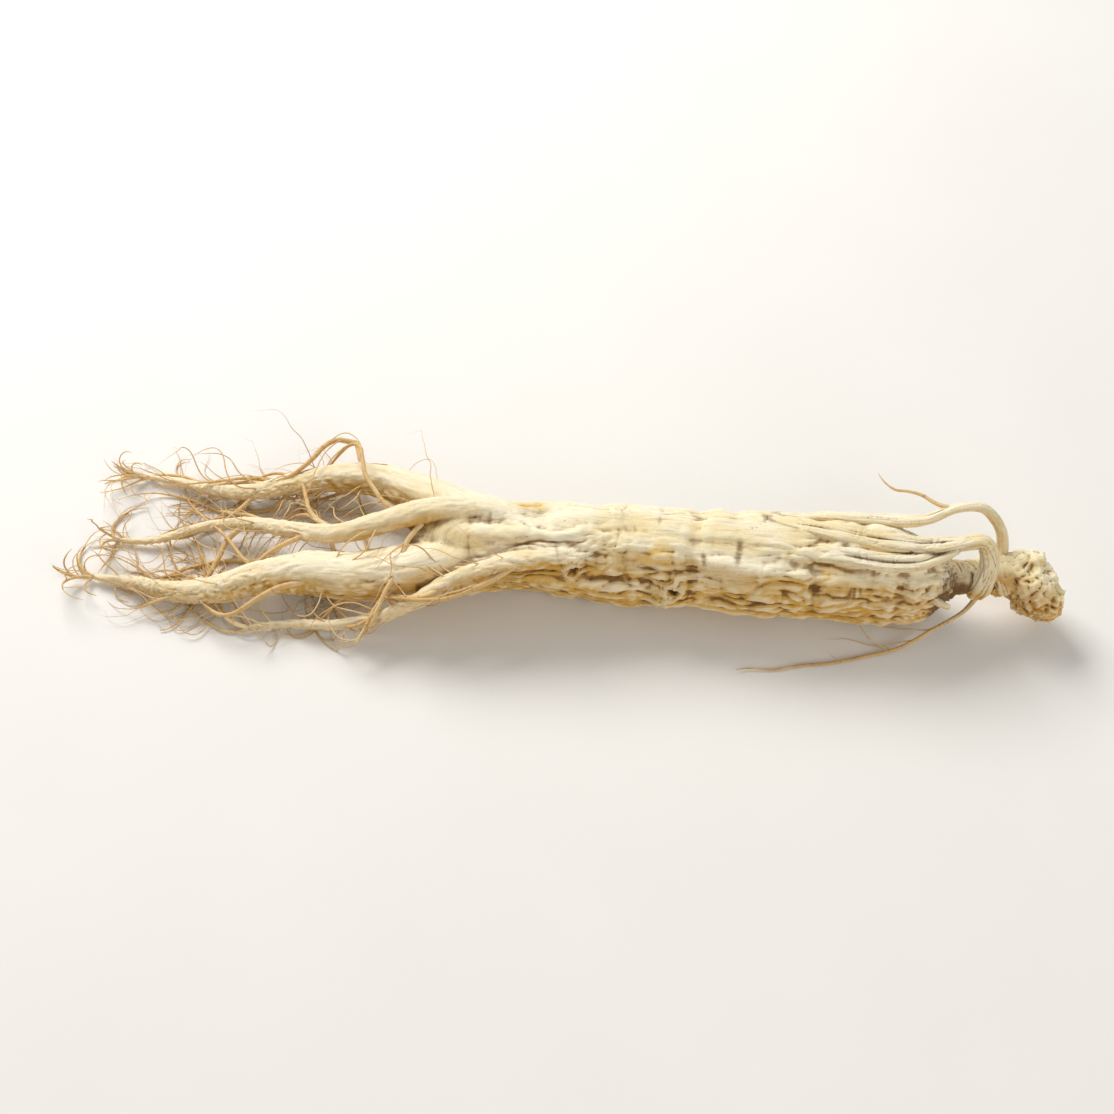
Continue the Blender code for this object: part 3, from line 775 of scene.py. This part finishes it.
def make_crown():
    """The neck and the crown with its knobs, flakes and stem scars."""
    tubes = [ring_tube(Limb(smooth_path(CROWN, 0.0008)), CROWN_SIDES)]
    tubes += [ring_tube(Limb(smooth_path(points, 0.0008)), KNOB_SIDES) for points in CROWN_KNOBS.values()]
    crown, places = grow_together("crown", tubes, CROWN_VOXEL, 14)
    height = crown_relief(places)
    head = ramp(places[:, 0], *HEAD_START)
    slant = places[:, 0] / MM + 0.5 * places[:, 1] / MM
    neck_ring = perlin(np.stack([slant, places[:, 1] / MM, places[:, 2] / MM], 1), (1.5, 6, 6), 42)
    height = height * (0.20 + 0.80 * head) + 0.80 * MM * (np.abs(neck_ring) - 0.2) * (1 - head)
    height -= 0.15 * MM * head
    round_out = normals_of(crown.data)
    places, deep, rims = hollow_cups(places + round_out * height[:, None], round_out)
    places = relax(crown.data, rest_on_floor(places), 0.5, 1)
    set_places(crown.data, places)
    sharp = np.maximum(hollowness(crown.data, places, 5, 0.00015), 0)
    # Painted shade, partly the bark's own colour: the front and lower side is painted more golden and darker.
    low = ramp(round_out @ SHADED_GOLDEN_SIDE, -0.45, 0.55)
    # Painted shade: the neck is painted dark up to a ragged edge, as the recess between shoulder and neck.
    ragged = places[:, 0] + 0.0018 * perlin(places, (0.0020, 0.0022, 0.0022), 29)
    recess = np.clip((1 - ramp(ragged, *NECK_LIT)) * neck_shade(places, low), 0, 1)
    # Creases and cups painted dark: partly the bark's own brown, partly painted shade. The cups' rims stay
    # pale.
    keep_looks(crown.data, places, crease=np.clip(0.9 * sharp - 0.5 * rims + recess, 0, 1), low=low, thin=0.2,
               relief=hollowness(crown.data, places, 40, 0.00032), hollow=0.75 * deep,
               mark=np.maximum(0.45 * deep, PAINTED_RECESS_SHADE * recess))
    return crown


def beside(path, gap, lift):
    """A path moved sideways along the body's skin by gap, and outwards by lift, at each point."""
    centre = path[:, :3]
    tangent = unit(np.gradient(centre, axis=0))
    out = unit((centre - (0.0, 0.0, AXIS_HEIGHT)) * (0, 1, 1))
    across = unit(np.cross(tangent, out))
    moved = path.copy()
    moved[:, :3] += across * gap[:, None] + out * lift[:, None]
    return moved


def make_strands():
    """The strands that grow from the neck and lie back along the body."""
    limbs = strand_limbs()
    tubes = [ring_tube(limb, STRAND_SIDES) for limb in limbs]
    strands, places = grow_together("strands", tubes, STRAND_VOXEL, 5)
    spot, radius, shared = along_limbs(limbs, places, 0.0006)
    q = spot / MM
    line = groove(perlin(q, (11, 0.9, 0.9), 50), 0.17)
    ring = groove(perlin(q, (1.6, 4, 4), 51), 0.16) * ramp(perlin(q, (6, 3, 3), 52), 0.05, 0.35)
    lumps = perlin(q, (7, 3, 3), 53)
    size = np.clip(radius / 0.0019, 0.2, 1.3)
    height = MM * size * (0.36 * lumps - 0.28 * line - 0.20 * ring + 0.05 * perlin(q, (0.7, 0.7, 0.7), 54))
    round_out = normals_of(strands.data)
    places = rest_on_floor(places + round_out * height[:, None])
    set_places(strands.data, places)
    # Creases painted brown: partly the strands' own colour, partly painted shade.
    sharp = np.maximum(hollowness(strands.data, places, 5, 0.00012), 0)
    # Painted shade: the gap between the two cords of a strand is painted dark.
    between = ramp(shared, 0.3, 0.5) * (1 - ramp(places[:, 0], 0.0880, 0.0960))
    # Near the floor the strands count as the lower side too, painted more golden and darker, partly as
    # painted shade.
    foot = 1 - ramp(places[:, 2], 0.0105, 0.0170)
    keep_looks(strands.data, spot, crease=np.clip(0.42 * sharp + 0.20 * line + 0.75 * between, 0, 1),
               relief=hollowness(strands.data, places, 30, 0.00040), thin=0.25 + 0.5 * (radius < 0.0011),
               low=np.maximum(0.5 * ramp(round_out @ SHADED_GOLDEN_SIDE, -0.2, 0.8), foot))
    return strands


def wander(rng, start, heading, length, radius, curl, step=0.0012):
    """A wavy rootlet that sinks to the floor, drifts to the tail, turns back there and thins as it goes."""
    place, heading = Vector(start), Vector(heading).normalized()
    yaw = pitch = 0.0
    steps = max(6, round(length / step))
    end = TAIL_END + 0.026 * rng.random() ** 1.4
    path = []
    for i in range(steps + 1):
        share = i / steps
        thin = radius * (1.0 - 0.72 * share**0.8)
        if place.z < thin:
            place.z = thin
            heading.z = max(heading.z, 0.02)
        place.y = min(HALF_SPREAD, max(-HALF_SPREAD, place.y))
        path.append((*place, thin))
        if place.x < end and i > 9:
            break
        yaw = 0.86 * yaw + curl * rng.gauss(0, 0.55)
        pitch = 0.84 * pitch + curl * rng.gauss(0, 0.30)
        side = heading.cross(Vector((0, 0, 1))).normalized()
        onward = -0.30 if heading.x > -0.25 else -0.05
        sink = -0.035 if place.z > 0.002 else 0.0
        drift = Vector((0.24 if place.x < end else onward, -0.30 * (place.y / HALF_SPREAD) ** 5, sink))
        heading = (heading + side * yaw * 0.5 + Vector((0, 0, pitch * 0.4)) + drift).normalized()
        place = place + heading * step
    path = np.array(path)
    path[:, 3] *= 1 - 0.72 * ramp(np.arange(len(path)), 0.55 * len(path), len(path))
    return path


def heading_at(path, at, back):
    """The way that a path runs at one of its points, from the point that is back steps before it."""
    return Vector(unit((path[at] - path[max(at - back, 0)])[None, :3])[0])


def grow_rootlets():
    """Paths of the thick rootlets and of the fine ones, each starting inside what it grows from."""
    rng = random.Random(ROOTLET_SEED)
    thick, fine = [smooth_path(HANGING, 0.0012)], []
    for name, points in LEGS.items():
        path = smooth_path(points, 0.0010)
        last, count = len(path) - 1, THICK_ROOTLETS[name]
        for k in range(count):
            at = last if k >= count - 3 else round(last * (0.22 + 0.78 * k / count))
            here, onward = path[at], heading_at(path, at, 3)
            spread = rng.uniform(0.1, 0.4) if at == last else rng.uniform(0.4, 1.0)
            out = Vector((0.0, (1 if k % 2 else -1) * spread, rng.uniform(-0.3, 0.4)))
            radius = min(rng.uniform(0.0005, 0.0010), here[3] * (0.5 if at == last else 0.8))
            thick.append(wander(rng, here[:3], onward + out, rng.uniform(0.030, 0.075), radius, curl=0.16))
        for _ in range(FINE_ON_LEG):
            at = round(last * rng.uniform(0.15, 1.0))
            here, onward = path[at], heading_at(path, at, 3)
            turn = rng.uniform(0, 2 * pi)
            out = Vector((0.0, cos(turn), 0.7 * sin(turn))) * rng.uniform(0.5, 1.4)
            fine.append(wander(rng, here[:3], onward + out, rng.uniform(0.014, 0.050),
                               rng.uniform(0.00016, 0.00034), curl=0.26, step=0.0009))
    for parent in list(thick):
        for _ in range(FINE_ON_ROOTLET):
            at = rng.randrange(len(parent) // 5, len(parent) - 1)
            here, onward = parent[at], heading_at(parent, at, 1)
            out = Vector((0.0, rng.uniform(-1, 1), rng.uniform(-0.3, 0.6)))
            fine.append(wander(rng, here[:3], onward + out, rng.uniform(0.010, 0.040),
                               min(here[3] * 0.6, rng.uniform(0.00014, 0.0003)), curl=0.28, step=0.0009))
    return thick + [smooth_path(WISP, 0.0008)], fine


def make_rootlets(name, paths, sides):
    """Rootlets as one object, with a tone and the length along each for its material."""
    limbs = [Limb(path) for path in paths]
    obj = make_object(name, [ring_tube(limb, sides) for limb in limbs])
    outward(obj)
    rng = random.Random(TONE_SEED)
    tones, tips, grains = [], [], []
    for limb in limbs:
        count = len(limb.centre)
        tone = np.full(count * sides + 2, rng.random())
        along = np.append(np.repeat(limb.length, sides), [0, limb.length[-1]])
        around = np.append(np.tile(np.arange(sides) / sides, count), [0, 0])
        tones.append(tone)
        tips.append(along / limb.length[-1])
        grains.append(np.stack([along + tone, around * 0.002, tone], 1))
    keep_float(obj.data, "tone", np.concatenate(tones))
    keep_float(obj.data, "tip", np.concatenate(tips))
    keep_vector(obj.data, "grain", np.concatenate(grains))
    obj.data.shade_smooth()
    return obj


def linear(red, green, blue):
    """A colour given as it shows on a screen, 0 to 255, as light."""
    parts = [v / 255 for v in (red, green, blue)]
    return (*[v / 12.92 if v <= 0.04045 else ((v + 0.055) / 1.055) ** 2.4 for v in parts], 1.0)


class Shading:
    """A material's nodes, made one after another, and the colour that they have mixed so far."""

    def __init__(self, name, colour):
        self.material = bpy.data.materials.new(name)
        self.material.use_nodes = True
        self.tree = self.material.node_tree
        self.shader = self.tree.nodes["Principled BSDF"]
        self.colour = colour

    def node(self, kind, settings=None, **inputs):
        made = self.tree.nodes.new("ShaderNode" + kind)
        for key, value in (settings or {}).items():
            setattr(made, key, value)
        for key, value in inputs.items():
            self.feed(made.inputs[key.replace("_", " ")], value)
        return made

    def feed(self, socket, value):
        if isinstance(value, bpy.types.NodeSocket):
            self.tree.links.new(value, socket)
        else:
            socket.default_value = value

    def value(self, name):
        return self.node("Attribute", {"attribute_name": name}).outputs["Fac"]

    def grain(self):
        return self.node("Attribute", {"attribute_name": "grain"}).outputs["Vector"]

    def place(self):
        return self.node("TexCoord").outputs["Object"]

    def stretch(self, vector, size):
        """The coordinates counted in cells of the given size in metres."""
        return self.node("Mapping", Vector=vector, Scale=tuple(1 / s for s in size)).outputs["Vector"]

    def cloud(self, vector, size, detail=3.0, roughness=0.55, distortion=0.0):
        """Noise around 0.5, in cells of the given size in metres."""
        made = self.node("TexNoise", Vector=self.stretch(vector, size), Scale=1.0, Detail=detail,
                         Roughness=roughness, Distortion=distortion)
        return made.outputs["Fac"]

    def scaled(self, value, low, high, to_low=0.0, to_high=1.0):
        made = self.node("MapRange", {"interpolation_type": "SMOOTHSTEP"}, Value=value, From_Min=low,
                         From_Max=high, To_Min=to_low, To_Max=to_high)
        return made.outputs["Result"]

    def times(self, a, b):
        made = self.node("Math", {"operation": "MULTIPLY"})
        self.feed(made.inputs[0], a)
        self.feed(made.inputs[1], b)
        return made.outputs["Value"]

    def cover(self, share, tint):
        """Mixes the given share of a tint into the colour so far."""
        made = self.node("Mix", {"data_type": "RGBA"})
        below, above = [socket for socket in made.inputs if socket.type == "RGBA"]
        self.feed(made.inputs["Factor"], share)
        self.feed(below, self.colour)
        self.feed(above, tint)
        self.colour = next(socket for socket in made.outputs if socket.type == "RGBA")

    def bump(self, height, distance, strength, **normal):
        made = self.node("Bump", Height=height, Distance=distance, Strength=strength, **normal)
        return made.outputs["Normal"]

    def finish(self, **inputs):
        """Gives the shader its colour and other inputs. Returns the material."""
        for key, value in {"Base_Color": self.colour, **inputs}.items():
            self.feed(self.shader.inputs[key.replace("_", " ")], value)
        return self.material


def skin_material(name, colours, streaks):
    """Dry pale skin: streaked along its grain, golden in front, brown in the creases, and powdery."""
    pale, warm, gold, valley, brown, dark = [linear(*colour) for colour in colours]
    m = Shading(name, pale)
    grain, place = m.grain(), m.place()
    crease, low, relief = m.value("crease"), m.value("low"), m.value("relief")
    patches = m.cloud(place, (0.016, 0.009, 0.009))
    m.cover(m.scaled(patches, 0.36, 0.66), warm)
    # Painted shade, partly the skin's own colour: gold laid on the front and lower side.
    m.cover(m.times(low, m.scaled(patches, 0.30, 0.60, 0.74, 1.0)), gold)
    m.cover(m.scaled(m.value("thin"), 0.1, 1.0, 0.0, 0.45), gold)
    lines = m.cloud(grain, (0.0075, 0.0007, 0.0007), 4.0, 0.6, 0.3)
    m.cover(m.scaled(lines, 0.50, 0.74, 0.0, streaks), brown)
    threads = m.cloud(grain, (0.0030, 0.00028, 0.00028), 2.0, 0.6, 0.2)
    m.cover(m.scaled(threads, 0.54, 0.76, 0.0, 0.6 * streaks), brown)
    amber = m.cloud(place, (0.003, 0.002, 0.002), 4.0, 0.7)
    m.cover(m.times(m.value("stain"), m.scaled(amber, 0.30, 0.60, 0.35, 0.80)), linear(*STAIN_COLOUR))

    # Hollows and creases painted golden-brown, brown and dark, more on the front and lower side: partly the
    # skin's own colour in its furrows, partly painted shade.
    break_up = m.scaled(m.cloud(place, (0.004, 0.003, 0.003)), 0.30, 0.62, 0.55, 1.0)
    deep = m.times(break_up, m.scaled(low, 0.0, 0.8, 0.45, 1.0))
    m.cover(m.times(m.scaled(relief, -0.05, 0.65, 0.0, 0.90), deep), valley)
    # Painted highlight, partly the skin's own paler ridges: ridges painted paler.
    m.cover(m.scaled(relief, -0.10, -0.85, 0.0, 0.45), pale)
    m.cover(m.times(m.scaled(relief, 0.18, 0.85, 0.0, 0.88), deep), brown)
    m.cover(m.times(m.scaled(crease, 0.15, 0.80, 0.0, 0.70), break_up), brown)
    m.cover(m.times(m.scaled(crease, 0.50, 1.0, 0.0, 0.60), break_up), dark)
    # Hollows of scars and cups painted dark: partly their own dark core, partly painted shade.
    m.cover(m.scaled(m.value("hollow"), 0.15, 0.95, 0.0, 0.85), dark)
    # The marks are the brown ring marks and the cups, and also the painted shade of the neck's recess.
    marks_and_painted_shade = m.scaled(m.value("mark"), 0.05, 0.95, 0.0, 0.80)
    m.cover(m.times(marks_and_painted_shade, m.scaled(lines, 0.30, 0.55, 0.6, 1.0)), brown)

    speck = m.node("TexVoronoi", {"feature": "F1"}, Vector=m.stretch(place, (0.0021,) * 3), Scale=1.0)
    speck_here = m.scaled(m.cloud(place, (0.007,) * 3, 2.0), 0.54, 0.68)
    specks = m.times(m.scaled(speck.outputs["Distance"], 0.15, 0.06), speck_here)
    m.cover(m.times(specks, 0.6), brown)
    dust = m.cloud(place, (0.0009,) * 3, 4.0, 0.7)
    # The dust is kept out of the creases and thinned on the front and lower side, adding to the painted shade
    # there.
    powder = m.times(m.scaled(crease, 0.5, 0.0), m.scaled(low, 0.2, 0.9, 1.0, 0.4))
    m.cover(m.times(m.scaled(dust, 0.50, 0.72, 0.0, 0.30), powder), linear(*DUST_COLOUR))

    rows = m.bump(lines, 0.00030, 0.40, Normal=m.bump(threads, 0.00018, 0.55))
    return m.finish(Roughness=m.scaled(dust, 0.30, 0.70, 0.66, 0.90),
                    Normal=m.bump(dust, 0.00014, 0.5, Normal=rows), Specular_IOR_Level=0.36,
                    Sheen_Weight=0.08, Sheen_Roughness=0.5, Subsurface_Weight=0.10,
                    Subsurface_Radius=(1.0, 0.6, 0.35), Subsurface_Scale=0.0010)


def rootlet_material(name):
    """Thin dry rootlets: golden, each a little different, ringed with fine darker wrinkles."""
    start, tip, ring, tawny, straw = [linear(*colour) for colour in ROOTLET_COLOURS]
    m = Shading(name, start)
    m.cover(m.scaled(m.value("tip"), 0.0, 0.9), tip)
    m.cover(m.scaled(m.value("tone"), 0.0, 1.0, 0.0, 0.45), tawny)
    rings = m.cloud(m.grain(), (0.0007, 0.0030, 1.0), 3.0, 0.6)
    m.cover(m.scaled(rings, 0.54, 0.74, 0.0, 0.55), ring)
    m.cover(m.scaled(m.cloud(m.place(), (0.006,) * 3, 2.0), 0.5, 0.7, 0.0, 0.35), straw)
    return m.finish(Roughness=m.scaled(rings, 0.3, 0.7, 0.66, 0.88), Normal=m.bump(rings, 0.00012, 0.7),
                    Specular_IOR_Level=0.35, Subsurface_Weight=0.08, Subsurface_Radius=(1.0, 0.6, 0.35),
                    Subsurface_Scale=0.0010)


def floor_material():
    """A plain pale floor with a hint of unevenness."""
    first, second = [linear(*colour) for colour in FLOOR_COLOURS]
    m = Shading("pale_floor", first)
    m.cover(m.cloud(m.place(), (0.05,) * 3), second)
    return m.finish(Roughness=0.85, Specular_IOR_Level=0.2)


def place_camera():
    """A camera where the photograph was taken from, turned to the root and zoomed in on it."""
    stand = Vector(PHOTO_STAND) - Vector(FOOTPRINT_MIDDLE)
    aim_then = Vector(PHOTO_AIM).normalized()
    roll = radians(PHOTO_ROLL)
    back = -aim_then
    right = Vector((0, 0, 1)).cross(back).normalized()
    up = back.cross(right)
    across = right * cos(roll) + up * sin(roll)
    upright = up * cos(roll) - right * sin(roll)
    photo = Matrix((across, upright, back)).transposed()
    aim = (Vector(LOOK_AT) - stand).normalized()
    turned = aim_then.rotation_difference(aim).to_matrix() @ photo
    data = bpy.data.cameras.new("camera")
    data.sensor_width, data.lens, data.clip_start = SENSOR_WIDTH, LENS, 0.01
    camera = new_object("camera", data)
    camera.matrix_world = Matrix.Translation(stand) @ turned.to_4x4()
    bpy.context.scene.camera = camera


def soft_light(name, place, size, power, colour):
    data = bpy.data.lights.new(name, "AREA")
    data.shape = "RECTANGLE"
    data.size, data.size_y = size
    data.energy, data.color = power, colour
    light = new_object(name, data)
    light.location = place
    light.rotation_euler = (-Vector(place)).to_track_quat("-Z", "Y").to_euler()


def light_scene():
    """A large soft window behind and to the left, a weak fill in front, and pale surroundings."""
    for name, light in LIGHTS.items():
        soft_light(name, *light)
    world = bpy.data.worlds.new("surroundings")
    world.use_nodes = True
    back = world.node_tree.nodes["Background"]
    back.inputs["Color"].default_value = SURROUNDINGS_COLOUR
    back.inputs["Strength"].default_value = SURROUNDINGS_STRENGTH
    bpy.context.scene.world = world
    bpy.context.scene.view_settings.view_transform = "Standard"


def make_floor():
    bpy.ops.mesh.primitive_plane_add(size=FLOOR_SIZE, location=(0, 0, FLOOR_HEIGHT))
    floor = bpy.context.object
    floor.name = "floor"
    floor.data.materials.append(floor_material())


def wear(piece, material):
    """Puts a finished piece in its place on the root and gives it its material."""
    piece.data.transform(Matrix.Translation(-Vector(FOOTPRINT_MIDDLE)))
    piece.data.materials.clear()
    piece.data.materials.append(material)
    piece.data.shade_smooth()
    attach(piece, "root")
    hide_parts(ROOT_NODE)


def main():
    place_camera()
    light_scene()
    make_floor()
    skin = skin_material("pale_skin", SKIN_COLOURS, SKIN_STREAKS)
    bark = skin_material("crown_bark", BARK_COLOURS, BARK_STREAKS)
    thread = rootlet_material("rootlet_skin")
    for half in make_trunk():
        wear(half, skin)
    wear(make_crown(), bark)
    wear(make_strands(), skin)
    thick, fine = grow_rootlets()
    wear(make_rootlets("rootlets", thick, ROOTLET_SIDES), thread)
    wear(make_rootlets("fine_rootlets", fine, FINE_SIDES), thread)


main()
